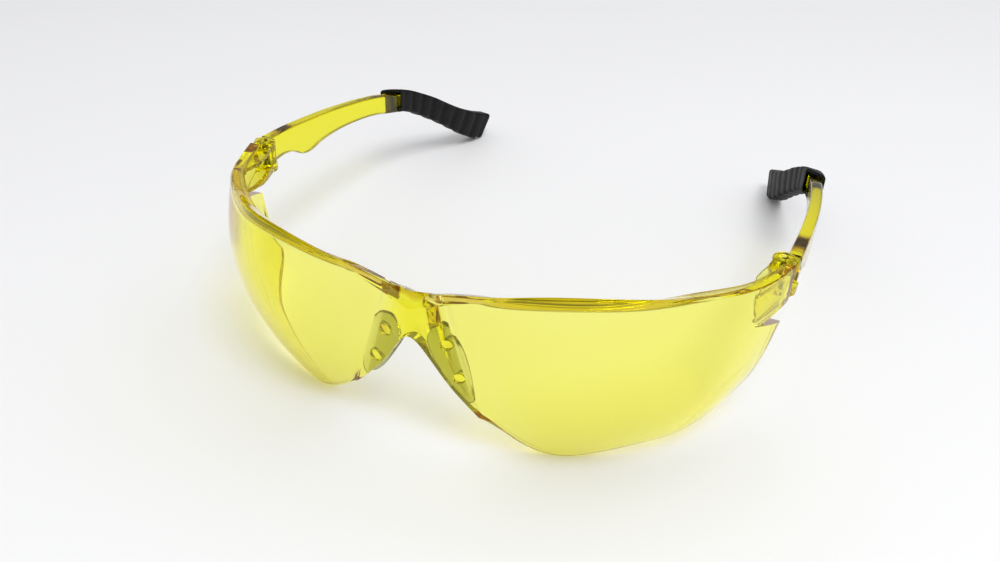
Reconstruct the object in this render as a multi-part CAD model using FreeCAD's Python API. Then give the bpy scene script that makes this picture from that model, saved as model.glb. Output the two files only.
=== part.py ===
import FreeCAD, Part
import math
import os

# Wrap-around safety glasses. Millimetres, +Z up. The wearer looks along -Y, so +X is the wearer's left.
# The glasses stand as they lie on a table: on the two lower edges of the shield and on the ends of the
# temple tips. Everything is drawn for the wearer's left side, with X = 0 on the plane of symmetry and
# Z = 0 on the table, and mirrored for the right. build_all then moves it along Y, so that the origin
# is at the bottom centre of the whole object's box.

Vec = FreeCAD.Vector

# ---- driving dimensions: hinge ------------------------------------------------------------------
HINGE_X = 66.0            # half the distance between the two hinge pins
HINGE_Y = 27.0
HINGE_TOP = 40.4
HINGE_BOTTOM = 32.1
KNUCKLE_HEIGHT = 2.3      # of the upper and of the lower knuckle; the temple's fills what is between
KNUCKLE_RADIUS = 2.6
KNUCKLE_GAP = 0.12
PIN_RADIUS = 0.8
PIN_BORE = 0.85           # a running fit on the pin
PIN_RECESS = 0.4          # the pin's ends lie this far inside the knuckles
WEB_TOP = 39.0            # the thin web that joins the bracket's two fingers
WEB_BOTTOM = 33.0
# The bracket's two pointed fingers and the web between them, seen from above, (x, y).
FINGER_PLAN = [(63.6, 12.0), (66.2, 18.0), (67.5, 22.0), (68.4, 24.6), (69.7, 26.2), (70.1, 28.3),
               (67.6, 29.1), (63.6, 27.0), (62.9, 24.0), (61.5, 19.0), (61.7, 14.6)]
WEB_PLAN = [(66.4, 18.0), (67.5, 22.0), (68.0, 24.1), (65.1, 24.1), (64.5, 22.0), (63.2, 18.0)]
# The fingers seen from the side, (y, z).
UPPER_FINGER = [(11.5, 38.9), (24.0, 38.1), (30.0, 38.1), (30.0, 40.4), (24.0, 40.3), (11.5, 40.6)]
LOWER_FINGER = [(11.5, 32.0), (24.0, 32.15), (26.0, 32.1), (30.0, 32.1), (30.0, 34.4), (24.0, 34.4),
                (11.5, 33.4)]

# ---- driving dimensions: shield -----------------------------------------------------------------
LENS_WALL = 2.2
LEDGE_WALL = 1.0          # thickness of the ledge behind the brow
LEDGE_STEP = 0.35         # the ledge stands at least this far proud of the inner face
LIP_LEAN = 0.45           # the front lip of the brow leans back this far
STEP_HEIGHT = 0.3         # height of the step under the lip

# Sections of the shield, from the crease beside the nose to the hinge. Each lies in a plane through
# a point on the brow and a point on the lower edge: (brow point, lower point, direction it faces in
# degrees from straight ahead, bulge, depth of the ledge, fall of the ledge, height of the front lip
# above the brow point, step back of the outer face under it).
CREASE = ((6.6, -19.05, 38.7), (14.7, -16.75, 10.8), 2, 0.15, 3.6, -0.8, 2.5, 1.6)
DOME = [
    CREASE,
    ((12.0, -18.75, 40.6), (16.7, -15.2, 8.9), 2, 1.3, 3.6, 0.1, 1.6, 0.5),
    ((19.0, -19.5, 43.7), (22.8, -12.3, 3.3), 2, 3.2, 5.0, 2.0, 0.65, 0.02),
    ((28.0, -19.6, 46.4), (30.2, -9.3, 0.03), 11, 4.5, 5.7, 3.1, 0.55, 0.01),
    ((37.1, -17.0, 47.3), (38.4, -6.2, 1.5), 24, 4.4, 5.2, 2.7, 0.55, 0.01),
    ((46.0, -10.5, 45.7), (47.0, -1.6, 3.9), 39, 4.2, 4.4, 1.4, 0.55, 0.01),
    ((54.1, -2.2, 43.5), (54.6, 5.0, 5.4), 53, 3.8, 3.6, 0.2, 0.45, 0.01),
    ((60.4, 6.0, 41.9), (59.2, 14.0, 5.2), 66, 3.0, 3.2, -0.2, 0.3, 0.01),
    ((65.0, 14.6, 40.6), (61.8, 22.0, 5.0), 74, 2.2, 2.7, -0.1, 0.2, 0.01),
    ((68.6, 24.6, 40.2), (63.4, 30.5, 5.0), 79, 1.6, 2.5, 0.0, 0.15, 0.01),
]
# Half sections of the bridge, from the middle of the nose to the crease. Their lower points run
# along the nose arch: (brow point, arch point, facing, wall, depth of the ledge, fall of the ledge,
# height and lean of the front lip).
BRIDGE = [
    ((0.0, -19.7, 36.5), (0.0, -19.7, 29.6), 0, 4.6, 4.95, -1.35, 3.3, 1.8),
    ((2.2, -19.45, 37.05), (3.5, -18.9, 25.4), 4, 4.2, 4.55, -1.1, 2.95, 1.5),
    ((4.5, -19.15, 37.85), (8.4, -18.0, 18.2), 6, 3.0, 3.8, -0.95, 2.6, 1.0),
]
BRIDGE_BULGE = 0.15
REAR_EDGE_Y = 24.4        # where the side of the shield ends
SHIELD_CORNER_Y = 23.5    # the corner of the side below the notch
SHIELD_CORNER_Z = 26.5
NOTCH_Y = 12.5            # tip of the notch under the hinge
NOTCH_Z = 31.2
NOTCH_MOUTH = 5.5         # the notch's height at the rear edge
NOTCH_TIP = 0.5           # and at its tip
# The round lower rear corner of the side, three points of an arc, and where it meets the lens, (y, z).
SIDE_CORNER = [(22.6, 18.0), (20.4, 12.0), (14.5, 8.3)]
SIDE_FOOT = (3.0, 4.9)
# A narrow moulding pocket in the top of the bridge, on each side of the middle: its floor and width.
POCKET_FLOOR = [(2.6, -17.75, 36.8), (6.6, -17.35, 37.6)]
POCKET_WIDTH = 1.0

# ---- driving dimensions: nose pads --------------------------------------------------------------
CREASE_TOP = (7.0, -17.3, 36.0)
CREASE_FOOT = (14.3, -17.1, 11.5)
FACET_TURN = 12.0         # the facet beside the nose is turned this far from straight across
PAD_SEAT = 2.4            # from the facet's face back to the pad
PAD_THICKNESS = 1.3
PAD_CLEARANCE = 0.15
PEG_RADIUS = 1.3          # two pegs on the back of the shield hold each pad
PEG_CLEARANCE = 0.08
PEG_PROUD = 0.3           # the pegs stand this far out of the pad
PEGS = [(8.0, -2.3), (16.4, -1.7)]
# The pad's leaf outline: (distance down the crease, distance outboard of it).
PAD_OUTLINE = [(3.4, -2.8), (4.4, -4.8), (6.6, -5.9), (9.8, -5.8), (13.6, -5.0), (18.0, -3.9),
               (21.2, -2.7), (22.9, -1.1), (21.9, 0.4), (18.4, 1.1), (14.9, 1.5), (11.3, 1.5),
               (8.4, 1.1), (5.6, -0.1)]

# ---- driving dimensions: temples and their soft tips --------------------------------------------
TEMPLE_WALL = 3.0
TONGUE_WALL = 1.6
TONGUE_HEIGHT = 4.6
TIP_WALL = 5.2
TIP_FIT = 0.12            # clearance of the temple in the soft tip
# The neck between the temple's knuckle and the arm, seen from above, (x, y).
NECK_PLAN = [(65.0, 27.0), (68.6, 27.0), (69.3, 31.0), (66.6, 31.0)]
# Middle line of the arm and of the tip, seen from above, (x, y).
ARM_PLAN = [(67.9, 29.9), (68.4, 38.0), (68.9, 50.0), (69.1, 60.0), (68.9, 72.0), (68.2, 84.0),
            (67.2, 94.0), (66.5, 98.6)]
TIP_PLAN = [(67.5, 92.3), (66.1, 100.9), (64.5, 107.2), (62.4, 113.7), (60.1, 120.3), (57.9, 127.0),
            (55.7, 135.0), (53.1, 146.5)]
TONGUE_PLAN = [(66.6, 98.0)] + TIP_PLAN[1:6]
# The tip's mouth is cut slanting, so that it reaches further forward on the outer side, (x, y).
TIP_MOUTH = [(73.9, 90.1), (59.9, 102.3), (59.9, 85.0), (73.9, 85.0)]
# Upper and lower outline of the arm, seen from the side, (y, z).
ARM_TOP = [(29.9, 39.8), (39.0, 38.9), (49.0, 37.6), (59.5, 36.1), (70.0, 34.4), (80.0, 32.7),
           (90.0, 30.6), (98.6, 28.3)]
ARM_BOTTOM = [(98.6, 22.4), (93.5, 23.6), (85.5, 25.7), (75.0, 27.4), (64.5, 28.4), (55.0, 28.5),
              (48.5, 28.0), (45.0, 28.9), (41.5, 31.0), (37.0, 32.3), (29.9, 32.4)]
# Upper outline and middle height of the tip, seen from the side, (y, z).
TIP_TOP = [(91.0, 31.2), (97.0, 29.8), (101.5, 28.4), (108.0, 25.7), (114.7, 22.4), (121.3, 18.4), (127.9, 14.6),
           (135.4, 10.9), (144.0, 7.6)]
TONGUE_LINE = [(98.0, 25.4), (101.6, 24.1), (108.0, 21.5), (114.7, 17.8), (121.3, 13.7), (127.9, 9.7)]
TIP_BOTTOM = [(138.2, 0.0), (133.5, 1.5), (128.0, 4.6), (121.3, 9.3), (114.7, 13.7), (108.0, 17.7),
              (101.5, 20.9), (91.0, 23.6)]
RIB_COUNT = 8             # soft waves along the tip's lower edge
RIB_DEPTH = 0.45


# ---- small geometry helpers ---------------------------------------------------------------------
def vec(p):
    return Vec(p[0], p[1], p[2])


def unit(v):
    return Vec(v.x / v.Length, v.y / v.Length, v.z / v.Length)


def line(a, b):
    return Part.LineSegment(a, b).toShape()


def arc(a, mid, b):
    return Part.Arc(a, mid, b).toShape()


def spline(points):
    curve = Part.BSplineCurve()
    curve.interpolate(points)
    return curve.toShape()


def mirrored(shape):
    return shape.mirror(Vec(0, 0, 0), Vec(1, 0, 0))


def polyline(points):
    return [line(a, b) for a, b in zip(points, points[1:])]


def prism(edges, direction):
    return Part.Face(Part.Wire(edges)).extrude(direction)


def offset_line(points, distance):
    """A plane line of (x, y) points moved sideways, to its right when distance is positive."""
    moved = []
    last = len(points) - 1
    for i, (x, y) in enumerate(points):
        before = points[max(i - 1, 0)]
        after = points[min(i + 1, last)]
        dx = after[0] - before[0]
        dy = after[1] - before[1]
        length = math.hypot(dx, dy)
        moved.append((x + distance * dy / length, y - distance * dx / length))
    return moved


def strip_in_plan(middle, wall):
    """A curved plate of even thickness, standing upright on a middle line of (x, y) points."""
    right = [Vec(x, y, -10) for x, y in offset_line(middle, wall / 2)]
    left = [Vec(x, y, -10) for x, y in reversed(offset_line(middle, -wall / 2))]
    edges = [spline(right), line(right[-1], left[0]), spline(left), line(left[-1], right[0])]
    return prism(edges, Vec(0, 0, 70))


def side_band(upper, lower):
    """A prism along X between an upper and a lower outline of (y, z) points, in running order."""
    top = [Vec(30, y, z) for y, z in upper]
    foot = [Vec(30, y, z) for y, z in lower]
    edges = [spline(top), line(top[-1], foot[0]), spline(foot), line(foot[-1], top[0])]
    return prism(edges, Vec(60, 0, 0))


def side_prism(outline, x_low, x_high):
    """A prism along X whose section is a polygon of (y, z) points."""
    points = [Vec(x_low, y, z) for y, z in outline]
    face = Part.Face(Part.makePolygon(points + points[:1]))
    return face.extrude(Vec(x_high - x_low, 0, 0))


def plan_prism(outline, z_low, z_high):
    """A prism along Z whose section is a polygon of (x, y) points."""
    points = [Vec(x, y, z_low) for x, y in outline]
    face = Part.Face(Part.makePolygon(points + points[:1]))
    return face.extrude(Vec(0, 0, z_high - z_low))


# ---- the shield ---------------------------------------------------------------------------------
def shield_section(top, bottom, facing, bulge, wall, depth, fall, lip, lean, step):
    """A closed section of the shield: lip, outer face, lower edge, inner face and ledge."""
    top = vec(top)
    bottom = vec(bottom)
    height = (bottom - top).Length
    down = unit(bottom - top)
    turn = math.radians(facing)
    back = Vec(-math.sin(turn), math.cos(turn), 0)
    inward = unit(back - down * back.dot(down))

    def at(along, into):
        return top + down * along + inward * into

    ledge_along = depth * back.dot(down) + fall
    ledge_into = depth * back.dot(inward)
    ledge_into = max(ledge_into, wall + step + LEDGE_STEP)
    under = STEP_HEIGHT + LEDGE_WALL + max(ledge_along, 0.0) * wall / ledge_into
    share = under / height
    inner_at_ledge = wall - 4 * bulge * share * (1 - share) + step * (1 - share) ** 3
    inner_middle = (under + height) / 2
    share = inner_middle / height
    inner_at_middle = wall - 4 * bulge * share * (1 - share)
    corners = [at(STEP_HEIGHT, step), at(height, 0), at(height, wall), at(under, inner_at_ledge),
               at(ledge_along + LEDGE_WALL, ledge_into), at(ledge_along, ledge_into),
               at(-lip, lean), at(0, 0)]
    edges = [
        arc(corners[0], at(height / 2, -bulge), corners[1]),
        line(corners[1], corners[2]),
        arc(corners[2], at(inner_middle, inner_at_middle), corners[3]),
        line(corners[3], corners[4]),
        line(corners[4], corners[5]),
        line(corners[5], corners[6]),
        line(corners[6], corners[7]),
        line(corners[7], corners[0]),
    ]
    return Part.Wire(edges)


def dome():
    """One side of the shield, from the crease beside the nose to the hinge."""
    wires = []
    for top, bottom, facing, bulge, depth, fall, lip, step in DOME:
        wires.append(shield_section(top, bottom, facing, bulge, LENS_WALL, depth, fall, lip, LIP_LEAN, step))
    return Part.makeLoft(wires, True, False)


def bridge():
    """The thick web over the nose, from one crease to the other."""
    half = []
    for top, bottom, facing, wall, depth, fall, lip, lean in BRIDGE:
        half.append(shield_section(top, bottom, facing, BRIDGE_BULGE, wall, depth, fall, lip, lean, 0.01))
    top, bottom, facing, bulge, depth, fall, lip, step = CREASE
    half.append(shield_section(top, bottom, facing, bulge, LENS_WALL, depth, fall, lip, LIP_LEAN, step))
    other_half = [mirrored(wire) for wire in reversed(half[1:])]
    return Part.makeLoft(other_half + half, True, False)


def rear_trim():
    """What is cut off the side of the shield: its rear edge, lower corner and the notch."""
    behind = REAR_EDGE_Y + 30
    above = 60
    below = -10
    notch_top = SHIELD_CORNER_Z + NOTCH_MOUTH

    def at(y, z):
        return Vec(HINGE_X / 2, y, z)

    corner = [at(y, z) for y, z in SIDE_CORNER]
    foot_y, foot_z = SIDE_FOOT
    notch = [at(REAR_EDGE_Y, notch_top), at(NOTCH_Y, NOTCH_Z + NOTCH_TIP), at(NOTCH_Y, NOTCH_Z),
             at(SHIELD_CORNER_Y, SHIELD_CORNER_Z), corner[0]]
    rest = [corner[2], at(foot_y, foot_z), at(foot_y, below), at(behind, below), at(behind, above),
            at(REAR_EDGE_Y, above), at(REAR_EDGE_Y, notch_top)]
    return prism(polyline(notch) + [arc(*corner)] + polyline(rest), Vec(HINGE_X, 0, 0))


def brow_pocket():
    """The moulding pocket beside the middle of the bridge, open at the top."""
    floor = [vec(p) for p in POCKET_FLOOR]
    open_top = [Vec(p.x, p.y, 60) for p in reversed(floor)]
    return prism(polyline(floor + open_top + floor[:1]), Vec(0, POCKET_WIDTH, 0))


def nose_frame():
    """Directions beside the nose: down the crease, outboard along the facet, and back from it."""
    start = vec(CREASE_TOP)
    down = unit(vec(CREASE_FOOT) - start)
    turn = math.radians(FACET_TURN)
    out = Vec(math.cos(turn), math.sin(turn), 0)
    out = unit(out - down * out.dot(down))
    back = out.cross(down)
    if back.y < 0:
        back = back * -1
    return start, down, out, back


def nose_point(along, outboard, depth):
    start, down, out, back = nose_frame()
    return start + down * along + out * outboard + back * depth


def leaf(grow, front, rear):
    """A plate with the pad's leaf outline, between two depths behind the facet's face."""
    middle_along = sum(p[0] for p in PAD_OUTLINE) / len(PAD_OUTLINE)
    middle_out = sum(p[1] for p in PAD_OUTLINE) / len(PAD_OUTLINE)
    points = []
    for along, outboard in PAD_OUTLINE:
        reach = math.hypot(along - middle_along, outboard - middle_out)
        scale = 1 + grow / reach
        points.append(nose_point(middle_along + (along - middle_along) * scale,
                                 middle_out + (outboard - middle_out) * scale, front))
    curve = Part.BSplineCurve()
    curve.interpolate(points, True)
    back = nose_frame()[3]
    return prism([curve.toShape()], back * (rear - front))


def pegs(radius, front, rear):
    """The two pegs of one pad, as cylinders between two depths behind the facet's face."""
    back = nose_frame()[3]
    return [Part.makeCylinder(radius, rear - front, nose_point(along, outboard, front), back)
            for along, outboard in PEGS]


def make_lens():
    """The one-piece shield: two domes joined over the nose, a ledge along the brow, and the pegs."""
    side = dome().cut(rear_trim())
    solid = side.fuse(bridge()).fuse(mirrored(side))
    for cutter in [brow_pocket(), leaf(PAD_CLEARANCE, PAD_SEAT, PAD_SEAT + 6)]:
        solid = solid.cut(cutter)
        solid = solid.cut(mirrored(cutter))
    for peg in pegs(PEG_RADIUS, PAD_SEAT / 2, PAD_SEAT + PAD_THICKNESS + PEG_PROUD):
        solid = solid.fuse(peg)
        solid = solid.fuse(mirrored(peg))
    return solid.removeSplitter()


# ---- the pieces ---------------------------------------------------------------------------------
def make_nose_pad():
    """A soft leaf-shaped pad with two holes, pressed onto the pegs of the shield."""
    solid = leaf(0.0, PAD_SEAT, PAD_SEAT + PAD_THICKNESS)
    for hole in pegs(PEG_RADIUS + PEG_CLEARANCE, 0, 2 * PAD_SEAT + PAD_THICKNESS):
        solid = solid.cut(hole)
    return solid.removeSplitter()


def hinge_cylinder(radius, low, high):
    return Part.makeCylinder(radius, high - low, Vec(HINGE_X, HINGE_Y, low))


def make_bracket(lens):
    """The end piece in the corner of the shield: two pointed fingers, a web and two knuckles."""
    plan = plan_prism(FINGER_PLAN, 0, 60)
    upper = plan.common(side_prism(UPPER_FINGER, HINGE_X - 20, HINGE_X + 20))
    lower = plan.common(side_prism(LOWER_FINGER, HINGE_X - 20, HINGE_X + 20))
    solid = upper.fuse(lower).fuse(plan_prism(WEB_PLAN, WEB_BOTTOM, WEB_TOP))
    solid = solid.fuse(hinge_cylinder(KNUCKLE_RADIUS, HINGE_TOP - KNUCKLE_HEIGHT, HINGE_TOP))
    solid = solid.fuse(hinge_cylinder(KNUCKLE_RADIUS, HINGE_BOTTOM, HINGE_BOTTOM + KNUCKLE_HEIGHT))
    solid = solid.cut(hinge_cylinder(PIN_BORE, 0, 60))
    return solid.cut(lens).removeSplitter()


def make_pin():
    """The metal hinge pin, held between the two knuckles of the bracket."""
    return hinge_cylinder(PIN_RADIUS, HINGE_BOTTOM + PIN_RECESS, HINGE_TOP - PIN_RECESS)


def make_temple():
    """The side arm: knuckle, flat curved plate, and the tongue that holds the soft tip."""
    low = HINGE_BOTTOM + KNUCKLE_HEIGHT + KNUCKLE_GAP
    high = HINGE_TOP - KNUCKLE_HEIGHT - KNUCKLE_GAP
    knuckle = hinge_cylinder(KNUCKLE_RADIUS, low, high)
    neck = plan_prism(NECK_PLAN, low, high)
    arm = strip_in_plan(ARM_PLAN, TEMPLE_WALL).common(side_band(ARM_TOP, ARM_BOTTOM))
    half = TONGUE_HEIGHT / 2
    tongue_top = [(y, z + half) for y, z in TONGUE_LINE]
    tongue_foot = [(y, z - half) for y, z in reversed(TONGUE_LINE)]
    tongue = strip_in_plan(TONGUE_PLAN, TONGUE_WALL).common(side_band(tongue_top, tongue_foot))
    solid = arm.fuse(neck).fuse(knuckle).fuse(tongue)
    return solid.cut(hinge_cylinder(PIN_BORE, 0, 60)).removeSplitter()


def ribbed(points):
    """The tip's lower outline with its soft waves."""
    lengths = [0.0]
    for a, b in zip(points, points[1:]):
        lengths.append(lengths[-1] + math.hypot(b[0] - a[0], b[1] - a[1]))
    count = RIB_COUNT * 2
    waves = []
    for i in range(count + 1):
        want = lengths[-1] * i / count
        k = max(j for j in range(len(points) - 1) if lengths[j] <= want)
        share = (want - lengths[k]) / (lengths[k + 1] - lengths[k])
        y = points[k][0] + (points[k + 1][0] - points[k][0]) * share
        z = points[k][1] + (points[k + 1][1] - points[k][1]) * share
        if 0 < i < count:
            z += RIB_DEPTH if i % 2 else -RIB_DEPTH * 0.5
        waves.append((y, z))
    return waves


def make_tip():
    """The soft ribbed sleeve on the end of the temple, bent down and in behind the ear."""
    solid = strip_in_plan(TIP_PLAN, TIP_WALL).common(side_band(TIP_TOP, ribbed(TIP_BOTTOM)))
    solid = solid.cut(plan_prism(TIP_MOUTH, 0, 60))
    fit = 2 * TIP_FIT
    mouth_top = [(y, z + TIP_FIT) for y, z in ARM_TOP]
    mouth_foot = [(y, z - TIP_FIT) for y, z in ARM_BOTTOM]
    mouth = strip_in_plan(ARM_PLAN, TEMPLE_WALL + fit).common(side_band(mouth_top, mouth_foot))
    half = TONGUE_HEIGHT / 2 + TIP_FIT
    hole_top = [(y, z + half) for y, z in TONGUE_LINE]
    hole_foot = [(y, z - half) for y, z in reversed(TONGUE_LINE)]
    hole = strip_in_plan(TONGUE_PLAN, TONGUE_WALL + fit).common(side_band(hole_top, hole_foot))
    return solid.cut(mouth).cut(hole).removeSplitter()


def build_all():
    """Every piece by name, with the origin at the bottom centre of the object's box."""
    lens = make_lens()
    left = {
        "nose_pad_left": make_nose_pad(),
        "hinge_bracket_left": make_bracket(lens),
        "hinge_pin_left": make_pin(),
        "temple_left": make_temple(),
        "temple_tip_left": make_tip(),
    }
    pieces = {"lens": lens}
    for name, shape in left.items():
        pieces[name] = shape
        pieces[name.replace("_left", "_right")] = mirrored(shape)
    whole = Part.makeCompound(list(pieces.values())).optimalBoundingBox(False, False)
    shift = Vec(0, -(whole.YMin + whole.YMax) / 2, -whole.ZMin)
    for shape in pieces.values():
        shape.translate(shift)
    print("box", round(whole.XLength, 2), round(whole.YLength, 2), round(whole.ZLength, 2))
    print("hinge pin", HINGE_X, round(HINGE_Y + shift.y, 3), "lowest point was", round(whole.ZMin, 3))
    return pieces


os.makedirs("parts", exist_ok=True)
for node, solid in build_all().items():
    print(node, solid.isValid(), len(solid.Solids), round(solid.Volume, 1))
    solid.exportStep("parts/" + node + ".step")
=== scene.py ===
import math

import bmesh
import bpy
import numpy as np
from mathutils import Matrix, Vector
from mathutils.bvhtree import BVHTree
from mathutils.kdtree import KDTree


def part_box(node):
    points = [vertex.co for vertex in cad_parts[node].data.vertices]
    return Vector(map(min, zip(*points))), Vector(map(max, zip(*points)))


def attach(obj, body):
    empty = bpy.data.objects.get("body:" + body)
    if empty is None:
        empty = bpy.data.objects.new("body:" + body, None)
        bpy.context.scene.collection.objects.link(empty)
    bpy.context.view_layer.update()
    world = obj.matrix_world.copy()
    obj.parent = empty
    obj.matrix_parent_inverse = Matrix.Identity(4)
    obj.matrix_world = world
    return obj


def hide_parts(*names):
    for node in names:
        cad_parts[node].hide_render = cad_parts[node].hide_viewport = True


# Safety glasses with a clear yellow one-piece shield. Shapes are drawn in millimetres for the wearer's
# left side, on the design's own datum: X = 0 on the plane of symmetry, Z = 0 on the table, the hinge
# pins at HINGE. place() turns them into metres in the frame, and mirrors them for the right side.

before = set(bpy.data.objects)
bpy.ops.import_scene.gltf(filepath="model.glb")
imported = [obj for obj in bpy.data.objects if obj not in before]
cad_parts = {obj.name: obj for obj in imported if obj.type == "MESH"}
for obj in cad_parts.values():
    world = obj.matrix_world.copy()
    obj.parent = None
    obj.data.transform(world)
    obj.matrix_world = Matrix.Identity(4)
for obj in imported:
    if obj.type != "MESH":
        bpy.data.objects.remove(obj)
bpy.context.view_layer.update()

MM = 0.001
UP = (0, 0, 1)
HINGE = (66.0, 27.0)
pin_low, pin_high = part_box("hinge_pin_left")
SHIFT_Y = (pin_low.y + pin_high.y) / 2 - HINGE[1] * MM

# ---- dimensions -----------------------------------------------------------------------------------
LENS_WALL = 2.2
LEDGE_WALL = 1.0
LEDGE_SHADE_SHARE = 0.8           # how far the ledge takes on its painted shade
REAR_EDGE_Y = 24.4
BRIDGE_STEPS = 61
DOME_STEPS = 190
KNUCKLE_RADIUS = 2.6
KNUCKLE_HEIGHT = 2.3
KNUCKLE_GAP = 0.12
HINGE_TOP = 40.4
HINGE_BOTTOM = 32.1
PIN_RADIUS = 0.8
PIN_BORE = 0.86
PIN_INSET = 0.4
TEMPLE_WALL = 3.0
TIP_WALL = 5.2

# Sections of the shield from the crease to the rear edge: brow point, lower point, facing in degrees,
# bulge, depth of the ledge, its fall, how far the dome lies behind the brow's band, and the band's
# height and lean.
CREASE = ((6.6, -19.05, 38.7), (14.7, -16.7, 10.8), 2, 0.15, 2.5, -1.45, 1.65, 2.55, 0.15)
DOME = [
    CREASE,
    ((12.0, -18.75, 40.6), (16.8, -15.1, 8.75), 2, 1.3, 2.6, -0.6, 0.6, 1.9, 0.05),
    ((19.0, -19.55, 43.7), (22.8, -12.3, 3.3), 2, 3.2, 4.1, 1.8, 0.08, 0.75, 0.2),
    ((28.0, -19.57, 46.4), (30.2, -9.3, 0.05), 11, 4.45, 5.3, 3.2, 0.0, 0.55, 0.45),
    ((37.1, -17.0, 47.3), (38.4, -6.2, 1.5), 24, 4.4, 5.4, 3.4, 0.0, 0.5, 0.45),
    ((46.0, -10.5, 45.7), (47.0, -1.6, 3.9), 39, 4.2, 4.2, 1.9, 0.0, 0.5, 0.45),
    ((54.1, -2.2, 43.5), (54.6, 5.0, 5.4), 53, 3.8, 3.6, 0.2, 0.0, 0.4, 0.4),
    ((60.4, 6.0, 41.9), (59.9, 13.4, 7.6), 66, 2.9, 3.2, -0.2, 0.0, 0.25, 0.35),
    ((65.0, 14.6, 40.6), (63.4, 19.8, 10.2), 74, 2.0, 2.9, -0.1, 0.0, 0.15, 0.3),
    ((67.2, 20.2, 40.3), (65.2, 21.6, 13.6), 80, 1.5, 2.8, 0.0, 0.0, 0.12, 0.3),
    ((68.6, 24.3, 40.2), (66.3, 22.8, 18.0), 86, 1.0, 2.7, 0.0, 0.0, 0.12, 0.3),
]
# Half sections of the bridge, from the middle to the crease, with the wall's thickness last.
BRIDGE = [
    ((0.0, -19.7, 36.5), (0.0, -19.7, 29.4), 0, 0.15, 4.95, -1.1, 0.0, 3.4, 1.4, 4.6),
    ((2.2, -19.45, 37.05), (3.85, -18.8, 25.0), 4, 0.15, 4.55, -1.0, 0.0, 3.05, 1.35, 4.2),
    ((4.5, -19.15, 37.85), (8.4, -18.0, 18.2), 6, 0.15, 3.5, -1.0, 0.3, 2.55, 0.95, 3.0),
]


# ---- placing --------------------------------------------------------------------------------------
def place(point, side=1):
    """A design point in millimetres as a frame point in metres."""
    return Vector((point[0] * MM * side, point[1] * MM + SHIFT_Y, point[2] * MM))


def smooth_lines(stations, steps):
    """Rows of numbers drawn smoothly through stations, by natural cubic splines."""
    rows = np.array(stations, float)
    gaps = np.linalg.norm(np.diff(rows[:, :6], axis=0), axis=1)
    at = np.concatenate([[0], np.cumsum(gaps)])
    count = len(at)
    matrix = np.zeros((count, count))
    right = np.zeros((count, rows.shape[1]))
    matrix[0, 0] = matrix[-1, -1] = 1
    for i in range(1, count - 1):
        before, after = gaps[i - 1], gaps[i]
        matrix[i, i - 1:i + 2] = before, 2 * (before + after), after
        right[i] = 6 * ((rows[i + 1] - rows[i]) / after - (rows[i] - rows[i - 1]) / before)
    bend = np.linalg.solve(matrix, right)
    want = np.linspace(0, at[-1], steps)
    k = np.clip(np.searchsorted(at, want, side="right") - 1, 0, count - 2)
    gap = gaps[k][:, None]
    b = (want[:, None] - at[k][:, None]) / gap
    a = 1 - b
    return a * rows[k] + b * rows[k + 1] + ((a**3 - a) * bend[k] + (b**3 - b) * bend[k + 1]) * gap**2 / 6


ARC_STEPS = 4


def rounded_loop(corners):
    """A closed line round corners given as ((x, y), radius, steps to the next corner)."""
    spots = [np.array(corner, float) for corner, _, _ in corners]
    count = len(corners)
    arcs = []
    for i, (_, radius, _) in enumerate(corners):
        here = spots[i]
        before = spots[i - 1] - here
        after = spots[(i + 1) % count] - here
        before /= np.linalg.norm(before)
        after /= np.linalg.norm(after)
        half = math.acos(max(-1.0, min(1.0, float(before @ after)))) / 2
        cut = radius / math.tan(half)
        arcs.append((here + before * cut, here, here + after * cut))
    points = []
    for i, (start, here, end) in enumerate(arcs):
        for k in range(ARC_STEPS + 1):
            t = k / ARC_STEPS
            points.append((1 - t) ** 2 * start + 2 * t * (1 - t) * here + t * t * end)
        target = arcs[(i + 1) % count][0]
        steps = corners[i][2]
        for k in range(1, steps):
            points.append(end + (target - end) * k / steps)
    return np.array(points)


# ---- mesh building --------------------------------------------------------------------------------
def tube(rings, capped=True):
    """Vertices and faces of a tube through rings of points, all with the same count."""
    rings = np.array(rings)
    count, around = rings.shape[:2]
    verts = rings.reshape(-1, 3)
    faces = []
    for i in range(count - 1):
        for j in range(around):
            k = (j + 1) % around
            faces.append((i * around + j, i * around + k, (i + 1) * around + k, (i + 1) * around + j))
    if capped:
        faces.append(tuple(range(around - 1, -1, -1)))
        faces.append(tuple((count - 1) * around + j for j in range(around)))
    return verts, faces


def make_mesh(name, verts, faces, side=1):
    mesh = bpy.data.meshes.new(name)
    mesh.from_pydata([place(v, side) for v in verts], [], faces)
    bm = bmesh.new()
    bm.from_mesh(mesh)
    bmesh.ops.recalc_face_normals(bm, faces=bm.faces)
    bm.to_mesh(mesh)
    bm.free()
    obj = bpy.data.objects.new(name, mesh)
    bpy.context.scene.collection.objects.link(obj)
    return obj


def shade(obj, angle=38):
    obj.data.polygons.foreach_set("use_smooth", [True] * len(obj.data.polygons))
    obj.data.set_sharp_from_angle(angle=math.radians(angle))
    return obj


def boolean(obj, cutters, operation):
    """Cuts or adds each cutter, applied to the mesh, and removes the cutters."""
    for cutter in cutters:
        modifier = obj.modifiers.new("cut", "BOOLEAN")
        modifier.operation = operation
        modifier.solver = "EXACT"
        modifier.object = cutter
    graph = bpy.context.evaluated_depsgraph_get()
    result = bpy.data.meshes.new_from_object(obj.evaluated_get(graph))
    obj.modifiers.clear()
    obj.data = result
    for cutter in cutters:
        bpy.data.objects.remove(cutter)
    return obj


def extruded(name, outline, direction, side=1):
    """A prism between an outline of 3-D points and the same outline moved along direction."""
    points = [np.array(p, float) for p in outline]
    moved = [p + np.array(direction, float) for p in points]
    return make_mesh(name, *tube([points, moved]), side)


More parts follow.
